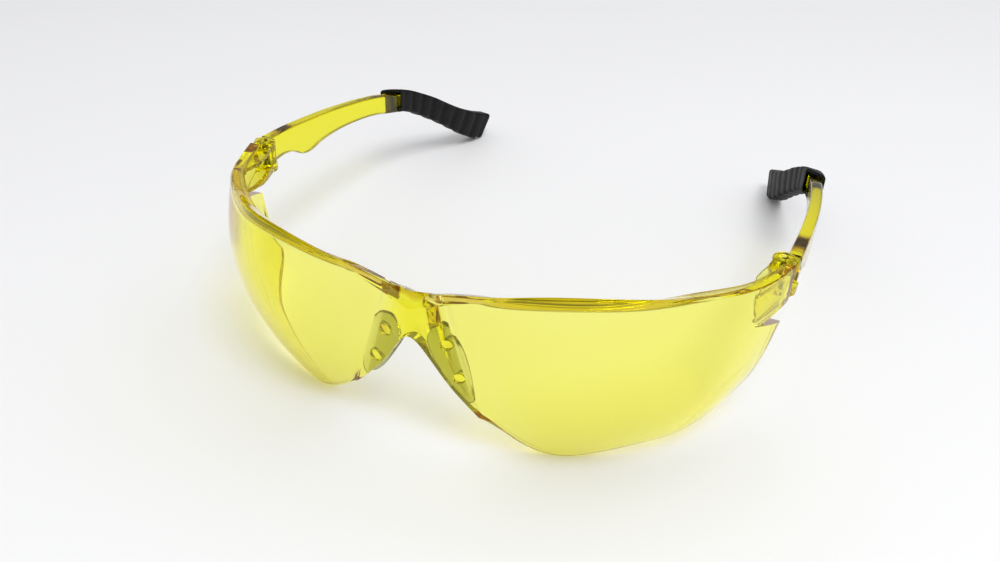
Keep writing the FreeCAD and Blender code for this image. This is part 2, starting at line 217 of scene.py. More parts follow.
def round_bar(name, centre, axis, radius, length, edge=0.15, side=1, segments=48):
    """A cylinder from centre along axis, with rounded edges."""
    axis = np.array(axis, float) / np.linalg.norm(axis)
    helper = np.array([1.0, 0, 0]) if abs(axis[0]) < 0.9 else np.array([0, 1.0, 0])
    u = np.cross(axis, helper)
    u /= np.linalg.norm(u)
    v = np.cross(axis, u)
    profile = [(radius - edge, 0), (radius - edge * 0.3, edge * 0.3), (radius, edge),
               (radius, length - edge), (radius - edge * 0.3, length - edge * 0.3), (radius - edge, length)]
    rings = []
    for r, along in profile:
        ring = []
        for k in range(segments):
            turn = 2 * math.pi * k / segments
            ring.append(np.array(centre) + axis * along + (u * math.cos(turn) + v * math.sin(turn)) * r)
        rings.append(ring)
    return make_mesh(name, *tube(rings), side)


# ---- the shield -----------------------------------------------------------------------------------
OUTER_STEPS = 44
OUTER_FACE = slice(ARC_STEPS, ARC_STEPS + OUTER_STEPS + 1)   # a section's points on its outer face
GATHERED = (0.0, 0.08, 0.16, 0.26, 0.38, 0.5, 0.7, 1.0)
STEP_LENGTH = 0.45
LEDGE_LEAST = 0.3           # how much deeper than the wall the ledge is at least
FOOT_ROUNDING = 0.35
LEDGE_ROUNDING = 0.3


def section_frame(top, bottom, facing):
    """A section's height, and three directions: down its wall, straight back, and in from its wall."""
    height = np.linalg.norm(bottom - top)
    down = (bottom - top) / height
    turn = math.radians(facing)
    back = np.array([-math.sin(turn), math.cos(turn), 0])
    inward = back - down * (back @ down)
    inward /= np.linalg.norm(inward)
    return height, down, back, inward


def gather_at_band(loop):
    """Gathers the outer face's points where the brow's band ends and the dome begins."""
    start, end = loop[OUTER_FACE.start, 0], loop[OUTER_FACE.stop - 1, 0]
    spread = OUTER_FACE.stop - OUTER_FACE.start - len(GATHERED)
    below = np.linspace(GATHERED[-1], end, spread + 1)[1:]
    loop[OUTER_FACE, 0] = np.concatenate([start + np.array(GATHERED), below])


def smooth_step(value):
    value = np.clip(value, 0, 1)
    return value * value * (3 - 2 * value)


def shield_ring(row):
    """One closed section of the shield in millimetres, and how much painted shade each of its points takes.
    """
    top, bottom = row[0:3], row[3:6]
    facing, bulge, depth, fall, step, lip, lean, wall = row[6:14]
    height, down, back, inward = section_frame(top, bottom, facing)
    ledge_s = depth * (back @ down) + fall
    ledge_w = max(depth * (back @ inward), wall + LEDGE_LEAST)
    under = LEDGE_WALL + max(ledge_s, 0) * wall / ledge_w
    corners = [
        ((0.0, 0.0), 0.05, OUTER_STEPS),
        ((height, 0.0), FOOT_ROUNDING, 4),
        ((height, wall), FOOT_ROUNDING, 36),
        ((under, wall), 0.25, 4),
        ((ledge_s + LEDGE_WALL, ledge_w), LEDGE_ROUNDING, 4),
        ((ledge_s, ledge_w), LEDGE_ROUNDING, 8),
        ((-max(lip, 0.1), lean), 0.06, 6),
    ]
    loop = rounded_loop(corners)
    gather_at_band(loop)
    along = loop[:, 0]
    share = np.clip(along / height, 0, 1)
    ahead_of_ledge = np.clip((ledge_w - loop[:, 1]) / (ledge_w - wall), 0, 1)
    loop[:, 1] += max(step, 0) * (1 - share) ** 2 * smooth_step(along / STEP_LENGTH) * ahead_of_ledge
    loop[:, 1] -= 4 * bulge * share * (1 - share)
    # Painted shade: points on the ledge take a dark brown that stands in for long light paths and dark
    # reflections there.
    ledge_shade = LEDGE_SHADE_SHARE * (1 - ahead_of_ledge)
    return top + loop[:, :1] * down + loop[:, 1:] * inward, ledge_shade


def shield_rows():
    """Numbers for every section of the left half of the shield, middle first, and the crease's index."""
    dome = [list(t) + list(b) + numbers + [LENS_WALL] for t, b, *numbers in DOME]
    half = [list(t) + list(b) + numbers for t, b, *numbers in BRIDGE] + [dome[0]]
    other = [[-row[0], *row[1:3], -row[3], *row[4:6], -row[6], *row[7:]] for row in reversed(half[1:])]
    bridge = smooth_lines(other + half, BRIDGE_STEPS)[BRIDGE_STEPS // 2:]
    return np.concatenate([bridge, smooth_lines(dome, DOME_STEPS)[1:]]), len(bridge) - 1


def mirror_points(points):
    flipped = np.array(points, float)
    flipped[:, 0] *= -1
    return flipped


def mark_ledge_shade(obj, values):
    """Stores how much painted shade each vertex takes; the ends' own vertices stay at 0."""
    layer = obj.data.attributes.new("ledge_shade", "FLOAT", "POINT")
    shares = np.zeros(len(obj.data.vertices))
    shares[:len(values)] = values
    layer.data.foreach_set("value", shares)


def shield_shell():
    """The whole shield before its seats, pockets and notches are cut, and its crease lines' points."""
    rows, crease = shield_rows()
    sections = [shield_ring(row) for row in rows]
    left = [points for points, _ in sections]
    rings = [mirror_points(ring) for ring in reversed(left[1:])] + left
    ledge_shade = [values for _, values in sections[:0:-1] + sections]
    lines = [left[crease][OUTER_FACE], mirror_points(left[crease])[OUTER_FACE]]
    shell = make_mesh("shield", *tube(rings))
    mark_ledge_shade(shell, np.concatenate(ledge_shade))
    return shell, np.concatenate(lines)


SAME_POINT = 2e-6


def mark_sharp(obj, points):
    """Keeps a hard edge along a line of design points."""
    tree = KDTree(len(points))
    for i, point in enumerate(points):
        tree.insert(place(point), i)
    tree.balance()
    mesh = obj.data
    on_line = [tree.find(v.co)[2] < SAME_POINT for v in mesh.vertices]
    for edge in mesh.edges:
        if on_line[edge.vertices[0]] and on_line[edge.vertices[1]]:
            edge.use_edge_sharp = True


# ---- the seats of the nose pads -------------------------------------------------------------------
NOSE_TOP = np.array((7.0, -17.3, 36.0))
NOSE_FOOT = np.array((14.3, -17.1, 11.5))
FACET_TURN = math.radians(12)
PAD_SEAT = 2.4
PAD_THICKNESS = 1.3
PAD_GAP = 0.04              # between the seat and the pad
PAD_ROOM = 0.15             # round the pad in its seat
THIN_START = -0.5           # where the leaf starts to grow thinner, outward from the crease
THIN_BLEND = 1.2
THINNER = 0.6
PEG_RADIUS = 1.3
PEG_PROUD = 0.3
PEG_ROOM = 0.07
PEGS = [(8.0, -2.3), (16.4, -1.7)]
PAD_OUTLINE = [(3.4, -2.8), (4.4, -4.8), (6.6, -5.9), (9.8, -5.8), (13.6, -5.0), (18.0, -3.9),
               (21.2, -2.7), (22.9, -1.1), (21.9, 0.4), (18.4, 1.1), (14.9, 1.5), (11.3, 1.5),
               (8.4, 1.1), (5.6, -0.1)]


def nose_frame():
    down = NOSE_FOOT - NOSE_TOP
    down /= np.linalg.norm(down)
    out = np.array([math.cos(FACET_TURN), math.sin(FACET_TURN), 0])
    out -= down * (out @ down)
    out /= np.linalg.norm(out)
    back = np.cross(out, down)
    return down, out, back * (1 if back[1] > 0 else -1)


def nose_point(along, outboard, depth):
    down, out, back = nose_frame()
    return NOSE_TOP + down * along + out * outboard + back * depth


def leaf_line(grow, steps=72):
    """The pad's leaf outline as a smooth closed line, grown outward by a distance."""
    base = np.array(PAD_OUTLINE)
    middle = base.mean(axis=0)
    count = len(base)
    line = []
    for k in range(steps):
        at = k * count / steps
        i = int(at)
        t = at - i
        p = [base[(i + j) % count] for j in (-1, 0, 1, 2)]
        point = 0.5 * (2 * p[1] + (p[2] - p[0]) * t + (2 * p[0] - 5 * p[1] + 4 * p[2] - p[3]) * t * t
                       + (3 * p[1] - p[0] - 3 * p[2] + p[3]) * t**3)
        away = point - middle
        line.append(point + away / np.linalg.norm(away) * grow)
    return line


def leaf_rings(profile, front=PAD_SEAT, thin=0.0):
    """Rings of the leaf outline: profile is (grow, depth behind the facet) for each ring.

    Outboard of the crease the leaf is thinner, by the share thin of its depth behind front."""
    rings = []
    for grow, depth in profile:
        ring = []
        for along, outboard in leaf_line(grow):
            share = min(max((outboard - THIN_START) / THIN_BLEND, 0.0), 1.0)
            ring.append(nose_point(along, outboard, depth - max(depth - front, 0.0) * thin * share))
        rings.append(ring)
    return rings


def peg_bars(radius, front, rear, edge, side):
    """The two pegs of one pad, as bars between two depths behind the facet's face."""
    back = nose_frame()[2]
    return [round_bar("peg", nose_point(along, outboard, front), back, radius, rear - front, edge, side)
            for along, outboard in PEGS]


NOTCH_TIP = (12.5, 31.45)
NOTCH_MOUTH = (26.4, 32.1)
NOTCH_HALF = 0.25           # half the gap's height at its tip
NOTCH_CORNER = (0.2, 0.1)
NOTCH_X, NOTCH_ACROSS = 50, 30   # where its cutter starts, and how far outward it reaches
POCKET_FRONT = -17.75
POCKET_DEPTH = 1.0
POCKET_SLOPE = 0.1
POCKET_CORNERS = [((2.6, 36.8), 0.4, 4), ((6.6, 37.6), 0.4, 4), ((6.6, 46), 0.4, 2), ((2.6, 46), 0.4, 2)]


def notch_cutter(side):
    """The wedge-shaped gap between the end piece's lower finger and the side of the shield."""
    tip_y, tip_z = NOTCH_TIP
    mouth_low, mouth_high = NOTCH_MOUTH
    back = REAR_EDGE_Y + 4
    slope_low = (mouth_low - tip_z + NOTCH_HALF) / (REAR_EDGE_Y - tip_y)
    slope_high = (mouth_high - tip_z - NOTCH_HALF) / (REAR_EDGE_Y - tip_y)
    blunt_y, blunt_z = tip_y - NOTCH_CORNER[0], NOTCH_CORNER[1]
    outline = [(back, tip_z - NOTCH_HALF + slope_low * (back - tip_y)), (tip_y, tip_z - NOTCH_HALF),
               (blunt_y, tip_z - blunt_z), (blunt_y, tip_z + blunt_z), (tip_y, tip_z + NOTCH_HALF),
               (back, tip_z + NOTCH_HALF + slope_high * (back - tip_y))]
    return extruded("notch", [(NOTCH_X, y, z) for y, z in outline], (NOTCH_ACROSS, 0, 0), side)


def pocket_cutter(side):
    """A narrow moulding pocket in the top of the bridge."""
    inner_x = POCKET_CORNERS[0][0][0]
    outline = [(x, POCKET_FRONT + POCKET_SLOPE * (x - inner_x), z) for x, z in rounded_loop(POCKET_CORNERS)]
    return extruded("pocket", outline, (0, POCKET_DEPTH, 0), side)


def make_shield():
    shield, crease_points = shield_shell()
    cutters = []
    for side in (1, -1):
        recess = leaf_rings([(PAD_ROOM, PAD_SEAT), (PAD_ROOM, PAD_SEAT + 6)])
        cutters.append(make_mesh("recess", *tube(recess), side))
        cutters.append(pocket_cutter(side))
        cutters.append(notch_cutter(side))
    boolean(shield, cutters, "DIFFERENCE")
    reach = PAD_SEAT + PAD_THICKNESS + PEG_PROUD
    pegs = [bar for side in (1, -1) for bar in peg_bars(PEG_RADIUS, PAD_SEAT / 2, reach, 0.2, side)]
    boolean(shield, pegs, "UNION")
    shade(shield)
    mark_sharp(shield, crease_points)
    return shield


# ---- nose pads ------------------------------------------------------------------------------------
def make_nose_pad(side, name):
    """A soft leaf with rounded edges, slightly dished where it meets the nose, held on two pegs."""
    front = PAD_SEAT + PAD_GAP
    rear = PAD_SEAT + PAD_THICKNESS
    profile = [(-2.2, front), (-0.35, front), (-0.08, front + 0.1), (0.0, front + 0.25), (0.0, rear - 0.35),
               (-0.1, rear - 0.18), (-0.4, rear - 0.02), (-0.9, rear), (-2.2, rear - 0.1)]
    pad = make_mesh(name, *tube(leaf_rings(profile, front, THINNER)), side)
    holes = peg_bars(PEG_RADIUS + PEG_ROOM, 0, 2 * PAD_SEAT + PAD_THICKNESS, 0.01, side)
    boolean(pad, holes, "DIFFERENCE")
    return shade(pad)


# ---- end pieces, hinge pins -----------------------------------------------------------------------
def wall_finder(shield):
    """A function that gives the inner face of the shield's wall at a height and depth, in mm."""
    bm = bmesh.new()
    bm.from_mesh(shield.data)
    tree = BVHTree.FromBMesh(bm)

    def find(y, z):
        start = place((40, y, z))
        hit = tree.ray_cast(start, Vector((1, 0, 0)))[0]
        return hit.x / MM if hit else None

    return find


# Lines along the end piece's fingers and their web, as (y, z) for tops and feet and (y, x) for inner sides.
FINGER_FRONT, FINGER_REAR = 12.2, 28.9
FINGER_INNER = [(12.0, 62.6), (14.6, 61.8), (19.0, 61.5), (22.0, 62.2), (24.0, 62.9), (27.0, 63.8),
                (29.0, 66.8)]
UPPER_TOP = [(11.5, 38.6), (14.0, 39.0), (24.0, 39.0), (27.0, 40.1)]
UPPER_FOOT = [(11.5, 38.0), (24.0, 38.1), (27.0, 38.1)]
LOWER_TOP = [(11.5, 33.0), (24.0, 34.35), (27.0, 34.35)]
LOWER_FOOT = [(11.5, 32.3), (24.0, 32.25), (27.0, 32.15)]
WEB_FRONT, WEB_REAR = 21.4, 23.9
WEB_INNER = [(18.0, 63.2), (22.0, 64.5), (24.1, 65.1)]
WEB_TOP = [(18.0, 38.6), (24.1, 38.6)]
WEB_FOOT = [(18.0, 33.0), (24.1, 33.0)]
WALL_GAP = 0.04                # between a finger and the shield's wall
WALL_END = REAR_EDGE_Y - 0.6   # behind this a finger swells outward, by the distances in FLARE
FLARE = [(WALL_END, 0), (REAR_EDGE_Y + 0.15, 2.0), (26.2, 3.2), (28.3, 3.5), (29.0, 2.6)]


def read_line(line, y):
    """The value at y of a bent line of (y, value) points."""
    return float(np.interp(y, *zip(*line)))


def finger_rings(wall, top_line, foot_line, inner_line, front, rear, count=34):
    """Sections of one finger of the end piece, from its point to the knuckle.

    Inside the shield the finger follows its wall; behind the shield's edge it swells outward."""
    rings = []
    for k in range(count + 1):
        share = k / count
        y = front + (rear - front) * share
        high = read_line(top_line, y)
        low = read_line(foot_line, y)
        middle = (high + low) / 2
        at = min(y, WALL_END)
        flare = read_line(FLARE, y)
        outer = wall(at, middle) + flare
        outer_high = (wall(at, high - 0.1) or outer - flare) + flare
        outer_low = (wall(at, low + 0.1) or outer - flare) + flare
        inner = min(read_line(inner_line, y), outer - 0.5)
        edge = min(0.4, (high - low) * 0.3, (outer - inner) * 0.3)
        corners = [((outer_low - WALL_GAP, low), 0.08, 3), ((outer_high - WALL_GAP, high), 0.08, 3),
                   ((inner, high), edge, 3), ((inner, low), edge, 3)]
        rings.append([(x, y, z) for x, z in rounded_loop(corners)])
    return rings


def hinge_bore(side):
    """A bar through the whole barrel and well beyond its ends, to cut the pin's bore."""
    return round_bar("bore", (*HINGE, HINGE_BOTTOM - 3), UP, PIN_BORE, 20, 0.01, side)


def make_bracket(side, name, wall):
    """An end piece: two fingers, the web between them and a knuckle at each end of the barrel."""
    upper_rings = finger_rings(wall, UPPER_TOP, UPPER_FOOT, FINGER_INNER, FINGER_FRONT, FINGER_REAR)
    lower_rings = finger_rings(wall, LOWER_TOP, LOWER_FOOT, FINGER_INNER, FINGER_FRONT, FINGER_REAR)
    web_rings = finger_rings(wall, WEB_TOP, WEB_FOOT, WEB_INNER, WEB_FRONT, WEB_REAR)
    upper = make_mesh(name, *tube(upper_rings), side)
    lower = make_mesh("lower", *tube(lower_rings), side)
    web = make_mesh("web", *tube(web_rings), side)
    knuckles = []
    for low in (HINGE_TOP - KNUCKLE_HEIGHT, HINGE_BOTTOM):
        foot = (*HINGE, low)
        knuckles.append(round_bar("knuckle", foot, UP, KNUCKLE_RADIUS, KNUCKLE_HEIGHT, 0.3, side))
    boolean(upper, [lower, web] + knuckles, "UNION")
    boolean(upper, [hinge_bore(side)], "DIFFERENCE")
    return shade(upper)


def make_pin(side, name):
    low = HINGE_BOTTOM + PIN_INSET
    return shade(round_bar(name, (*HINGE, low), UP, PIN_RADIUS, HINGE_TOP - PIN_INSET - low, 0.2, side))


# ---- temples --------------------------------------------------------------------------------------
ARM_PLAN = [(67.9, 29.9), (68.4, 38.0), (68.9, 50.0), (69.1, 60.0), (68.9, 72.0), (68.2, 84.0),
            (67.2, 94.0), (66.5, 98.6)]
ARM_TOP = [(29.9, 39.8), (39.0, 38.9), (49.0, 37.6), (59.5, 36.1), (70.0, 34.4), (80.0, 32.7),
           (90.0, 30.6), (98.6, 28.3)]
ARM_FOOT = [(29.9, 32.4), (37.0, 32.3), (41.5, 31.0), (45.0, 28.9), (48.5, 28.0), (55.0, 28.5),
            (64.5, 28.4), (75.0, 27.4), (85.5, 25.7), (93.5, 23.6), (98.6, 22.4)]
TIP_PLAN = [(67.5, 92.3), (66.1, 100.9), (64.5, 107.2), (62.4, 113.7), (60.1, 120.3), (57.9, 127.0),
            (55.7, 135.0), (53.1, 146.5)]
TIP_TOP = [(91.0, 31.2), (97.0, 29.8), (101.5, 28.4), (108.0, 25.7), (114.7, 22.4), (121.3, 18.4),
           (127.9, 14.6), (135.4, 10.9), (144.0, 7.6)]
TIP_FOOT = [(91.0, 23.6), (101.5, 20.9), (108.0, 17.7), (114.7, 13.7), (121.3, 9.3), (128.0, 4.6),
            (133.5, 1.5), (138.2, 0.0)]
ARM_FRONT, ARM_REAR = 29.9, 98.6
ARM_ROUNDING = 0.45
ARM_EDGE = 0.55
NECK_PLAN = [(65.2, 27.0), (68.55, 27.0), (69.2, 31.0), (66.7, 31.0)]
NECK_INSET = 0.05


def through(points, at):
    """A smooth curve through points, read at a value of their first number."""
    rows = np.array(points, float)
    x = rows[:, 0]
    i = int(np.clip(np.searchsorted(x, at) - 1, 0, len(x) - 2))
    slopes = np.gradient(rows[:, 1:], x, axis=0)
    h = x[i + 1] - x[i]
    t = (at - x[i]) / h
    a, b = rows[i, 1:], rows[i + 1, 1:]
    curve = ((2 * t**3 - 3 * t**2 + 1) * a + (t**3 - 2 * t**2 + t) * h * slopes[i]
             + (3 * t**2 - 2 * t**3) * b + (t**3 - t**2) * h * slopes[i + 1])
    return float(curve[0])


def by_depth(plan):
    return [(y, x) for x, y in plan]


def plate_ring(plan, foot, head, inner, outer, edge, skew=0.0):
    """A rounded section across a plan line, from its foot to its head, each given as (y, z).

    skew is how much further back the section's inner side lies than its outer side."""
    line = by_depth(plan)
    low, high = foot[1], head[1]
    corners = [(outer, low), (outer, high), (inner, high), (inner, low)]
    ring = []
    for offset, z in rounded_loop([(corner, edge, 2) for corner in corners]):
        y = foot[0] + (head[0] - foot[0]) * (z - low) / (high - low)
        y += skew * (outer - offset) / (outer - inner)
        middle = np.array((through(line, y), y))
        ahead = np.array((through(line, y + 0.5), y + 0.5))
        along = (ahead - middle) / np.linalg.norm(ahead - middle)
        x, depth = middle + np.array((along[1], -along[0])) * offset
        ring.append((x, depth, z))
    return ring


def make_temple(side, name):
    """An arm: a curved plate with its middle knuckle, and with a tongue behind for the soft tip."""
    rings = []
    stations = np.concatenate([[ARM_FRONT, 29.95, 30.1, 30.35], np.linspace(30.8, ARM_REAR, 110)])
    for y in stations:
        shrink = max(0.0, ARM_ROUNDING - (y - ARM_FRONT))
        high = through(ARM_TOP, y) - shrink
        low = through(ARM_FOOT, y) + shrink
        half = TEMPLE_WALL / 2 - shrink
        rings.append(plate_ring(ARM_PLAN, (y, low), (y, high), -half, half, ARM_EDGE))
    arm = make_mesh(name, *tube(rings), side)
    low = HINGE_BOTTOM + KNUCKLE_HEIGHT + KNUCKLE_GAP
    height = HINGE_TOP - KNUCKLE_HEIGHT - KNUCKLE_GAP - low
    knuckle = round_bar("knuckle", (*HINGE, low), UP, KNUCKLE_RADIUS, height, 0.2, side)
    foot = [(x, y, low + NECK_INSET) for x, y in NECK_PLAN]
    neck = extruded("neck", foot, (0, 0, height - 2 * NECK_INSET), side)
    boolean(arm, [knuckle, neck], "UNION")
    boolean(arm, [hinge_bore(side)], "DIFFERENCE")
    return shade(arm)


TIP_FRONT = 93.2
MOUTH_SKEW = 4.6              # the mouth is cut slanting, so that it reaches further forward outside
TIP_REAR = (138.2, 143.7)     # the end slants: its lower and its upper corner
RIBS = 9
RIB_DEPTH = 0.5
GROOVE = 0.3
TIP_STEPS = 180
TIP_EDGE = 1.0
MOUTH_ROUNDING, REAR_ROUNDING = 0.4, 1.1
BORE_STATIONS = (99.0, 97.0, 95.0, 93.7)
BORE_ROOM = 0.3
SLEEVE_WALLS = (0.55, 0.75)   # beside the arm: inner side, outer side
SIDE_PINCH = 0.7
GROOVE_FADE = 8               # the grooves fade out over an eighth of the length at each end


def rounding(distance, radius):
    """How far a rounded end draws in, at a distance from the end."""
    left = 1 - min(distance / radius, 1.0)
    return radius * (1 - math.sqrt(1 - left * left))


def make_tip(side, name):
    """The soft sleeve: open in front, with room beside the arm, and ribbed along its lower edge."""
    half = TIP_WALL / 2
    rings = []
    for y in BORE_STATIONS:
        at = min(y + MOUTH_SKEW / 2, ARM_REAR)
        foot = (y, through(ARM_FOOT, at) - BORE_ROOM)
        head = (y, through(ARM_TOP, at) + BORE_ROOM)
        inner, outer = -half + SLEEVE_WALLS[0], half - SLEEVE_WALLS[1]
        rings.append(plate_ring(TIP_PLAN, foot, head, inner, outer, 0.5, MOUTH_SKEW))
    for k in range(TIP_STEPS + 1):
        share = k / TIP_STEPS
        foot_y = TIP_FRONT + (TIP_REAR[0] - TIP_FRONT) * share
        head_y = TIP_FRONT + (TIP_REAR[1] - TIP_FRONT) * share
        pinch = rounding(foot_y - TIP_FRONT, MOUTH_ROUNDING) + rounding(TIP_REAR[0] - foot_y, REAR_ROUNDING)
        wave = 0.5 - 0.5 * math.cos(2 * math.pi * RIBS * share)
        foot = (foot_y, through(TIP_FOOT, foot_y) + RIB_DEPTH * wave**2 + pinch)
        head = (head_y, through(TIP_TOP, head_y) - pinch)
        groove = GROOVE * wave**2 * min(share * GROOVE_FADE, 1, (1 - share) * GROOVE_FADE)
        skew = MOUTH_SKEW * (1 - share)**3
        inner, outer = -half + groove + SIDE_PINCH * pinch, half - SIDE_PINCH * pinch
        rings.append(plate_ring(TIP_PLAN, foot, head, inner, outer, TIP_EDGE, skew))
    return shade(make_mesh(name, *tube(rings), side), 50)


# ---- materials ------------------------------------------------------------------------------------
# Clear plastics: two tints for the mottled surface, and the absorbed colour with its density.
LENS_TINT = ((1, 1, 0.97, 1), (1, 0.998, 0.94, 1))
LENS_ABSORB = ((0.99, 0.979, 0.2, 1), 800)
ARM_TINT = ((1, 0.995, 0.9, 1), (1, 0.985, 0.84, 1))
ARM_ABSORB = ((0.994, 0.986, 0.03, 1), 1300)
END_TINT = ((1, 1, 0.95, 1), (1, 0.99, 0.9, 1))
END_ABSORB = ((0.9905, 0.978, 0.03, 1), 1100)
PAD_TINT = ((0.66, 0.67, 0.48, 1), (0.72, 0.73, 0.54, 1))
PAD_ABSORB = ((0.72, 0.725, 0.5, 1), 800)
REFLECTED = (1, 0.9, 0.3, 1)
# Painted shade on the brow's ledge: the dark brown of long light paths through it and of dark reflections
# in it.
LEDGE_SHADE_TINT = (0.5, 0.25, 0.03, 1)
# A nose pad's thin leaf lies beyond a line that runs down and outward, where |X| + slope * Z = start.
LEAF_TINT = (1, 1, 0.97, 1)
LEAF_SLOPE = 0.298
LEAF_START = 0.0161
LEAF_BLEND = 0.0003
RUBBER = ((0.005, 0.005, 0.0055, 1), (0.011, 0.011, 0.012, 1))
STEEL = ((0.1, 0.095, 0.09, 1), (0.34, 0.33, 0.31, 1))
FLOOR = ((0.86, 0.86, 0.87, 1), (0.88, 0.88, 0.89, 1))
# Sockets of a Mix node that mixes colours: its two colours, and its result.
COLOUR_A, COLOUR_B, COLOUR_RESULT = 6, 7, 2


def new_material(name):
    material = bpy.data.materials.new(name)
    material.use_nodes = True
    nodes = material.node_tree.nodes
    return material, nodes, material.node_tree.links, nodes["Principled BSDF"]


def noise(nodes, links, scale, detail=3.0):
    """Object-space noise, scale in waves per metre."""
    coords = nodes.new("ShaderNodeTexCoord")
    texture = nodes.new("ShaderNodeTexNoise")
    texture.inputs["Scale"].default_value = scale
    texture.inputs["Detail"].default_value = detail
    links.new(coords.outputs["Object"], texture.inputs["Vector"])
    return texture.outputs["Fac"]


def ramp(nodes, links, source, low, high, position=(0.3, 0.7)):
    """A colour ramp between two colours, driven by source."""
    node = nodes.new("ShaderNodeValToRGB")
    node.color_ramp.elements[0].position = position[0]
    node.color_ramp.elements[1].position = position[1]
    node.color_ramp.elements[0].color = low
    node.color_ramp.elements[1].color = high
    links.new(source, node.inputs["Fac"])
    return node.outputs["Color"]


def to_range(nodes, links, source, low, high):
    node = nodes.new("ShaderNodeMapRange")
    node.inputs["To Min"].default_value = low
    node.inputs["To Max"].default_value = high
    links.new(source, node.inputs["Value"])
    return node.outputs["Result"]


def bump(nodes, links, source, shader, strength, distance):
    node = nodes.new("ShaderNodeBump")
    node.inputs["Strength"].default_value = strength
    node.inputs["Distance"].default_value = distance
    links.new(source, node.inputs["Height"])
    links.new(node.outputs["Normal"], shader.inputs["Normal"])


def clear_plastic(name, tint, absorb, rough, ior, waves, shadow=0.8):
    """Transparent moulded plastic: its colour comes from the depth of plastic the light crosses.

    waves is the scale and strength of its faint waviness, shadow the light it lets through to a shadow."""
    material, nodes, links, shader = new_material(name)
    shader.inputs["Transmission Weight"].default_value = 1.0
    shader.inputs["IOR"].default_value = ior
    shader.inputs["Specular IOR Level"].default_value = 0.3
    shader.inputs["Specular Tint"].default_value = REFLECTED
    links.new(ramp(nodes, links, noise(nodes, links, 60), *tint), shader.inputs["Base Color"])
    links.new(to_range(nodes, links, noise(nodes, links, 240, 5), *rough), shader.inputs["Roughness"])
    bump(nodes, links, noise(nodes, links, waves[0], 2), shader, waves[1], 0.0002)
    clear = nodes.new("ShaderNodeBsdfTransparent")
    clear.inputs["Color"].default_value = (shadow, shadow, shadow, 1)
    path = nodes.new("ShaderNodeLightPath")
    mix = nodes.new("ShaderNodeMixShader")
    links.new(path.outputs["Is Shadow Ray"], mix.inputs["Fac"])
    links.new(shader.outputs["BSDF"], mix.inputs[1])
    links.new(clear.outputs["BSDF"], mix.inputs[2])
    output = nodes["Material Output"]
    links.new(mix.outputs["Shader"], output.inputs["Surface"])
    volume = nodes.new("ShaderNodeVolumeAbsorption")
    volume.inputs["Color"].default_value, volume.inputs["Density"].default_value = absorb
    links.new(volume.outputs["Volume"], output.inputs["Volume"])
    return material


def tint_part(material, share, tint):
    """Mixes another tint into a material's own colour, as far as share says."""
    nodes, links = material.node_tree.nodes, material.node_tree.links
    shader = nodes["Principled BSDF"]
    own = shader.inputs["Base Color"].links[0].from_socket
    mix = nodes.new("ShaderNodeMix")
    mix.data_type = "RGBA"
    links.new(share, mix.inputs["Factor"])
    links.new(own, mix.inputs[COLOUR_A])
    mix.inputs[COLOUR_B].default_value = tint
    links.new(mix.outputs[COLOUR_RESULT], shader.inputs["Base Color"])
    return material


def lens_material():
    material = clear_plastic("lens_yellow", LENS_TINT, LENS_ABSORB, rough=(0.0, 0.03), ior=1.585,
                             waves=(90, 0.02))
    # The ledge's painted shade is mixed into the lens colour here.
    ledge_shade = material.node_tree.nodes.new("ShaderNodeAttribute")
    ledge_shade.attribute_name = "ledge_shade"
    return tint_part(material, ledge_shade.outputs["Fac"], LEDGE_SHADE_TINT)


def arm_material():
    return clear_plastic("temple_yellow", ARM_TINT, ARM_ABSORB, rough=(0.06, 0.16), ior=1.53,
                         waves=(160, 0.06), shadow=0.55)


def bracket_material():
    return clear_plastic("end_piece_yellow", END_TINT, END_ABSORB, rough=(0.01, 0.06), ior=1.585,
                         waves=(140, 0.04))


def leaf_share(nodes, links):
    """0 on the part of a nose pad seated beside the nose, 1 on its thin outer leaf."""
    coords = nodes.new("ShaderNodeTexCoord")
    axes = nodes.new("ShaderNodeSeparateXYZ")
    links.new(coords.outputs["Object"], axes.inputs["Vector"])
    outward = nodes.new("ShaderNodeMath")
    outward.operation = "ABSOLUTE"
    links.new(axes.outputs["X"], outward.inputs[0])
    along = nodes.new("ShaderNodeMath")
    along.operation = "MULTIPLY_ADD"
    links.new(axes.outputs["Z"], along.inputs[0])
    along.inputs[1].default_value = LEAF_SLOPE
    links.new(outward.outputs[0], along.inputs[2])
    step = nodes.new("ShaderNodeMapRange")
    step.inputs["From Min"].default_value = LEAF_START - LEAF_BLEND
    step.inputs["From Max"].default_value = LEAF_START + LEAF_BLEND
    links.new(along.outputs[0], step.inputs["Value"])
    return step.outputs["Result"]


def pad_material():
    material = clear_plastic("nose_pad_vinyl", PAD_TINT, PAD_ABSORB, rough=(0.12, 0.3), ior=1.45,
                             waves=(400, 0.15))
    tree = material.node_tree
    return tint_part(material, leaf_share(tree.nodes, tree.links), LEAF_TINT)


def rubber_material():
    material, nodes, links, shader = new_material("tip_rubber")
    colour = ramp(nodes, links, noise(nodes, links, 900, 6), *RUBBER)
    links.new(colour, shader.inputs["Base Color"])
    links.new(to_range(nodes, links, noise(nodes, links, 500, 4), 0.38, 0.6), shader.inputs["Roughness"])
    shader.inputs["Specular IOR Level"].default_value = 0.12
    bump(nodes, links, noise(nodes, links, 2600, 4), shader, 0.25, 0.0001)
    return material


def steel_material():
    material, nodes, links, shader = new_material("pin_steel")
    colour = ramp(nodes, links, noise(nodes, links, 1500, 4), *STEEL)
    links.new(colour, shader.inputs["Base Color"])
    links.new(to_range(nodes, links, noise(nodes, links, 1200, 3), 0.25, 0.5), shader.inputs["Roughness"])
    shader.inputs["Metallic"].default_value = 1.0
    bump(nodes, links, noise(nodes, links, 3000, 2), shader, 0.2, 0.00005)
    return material


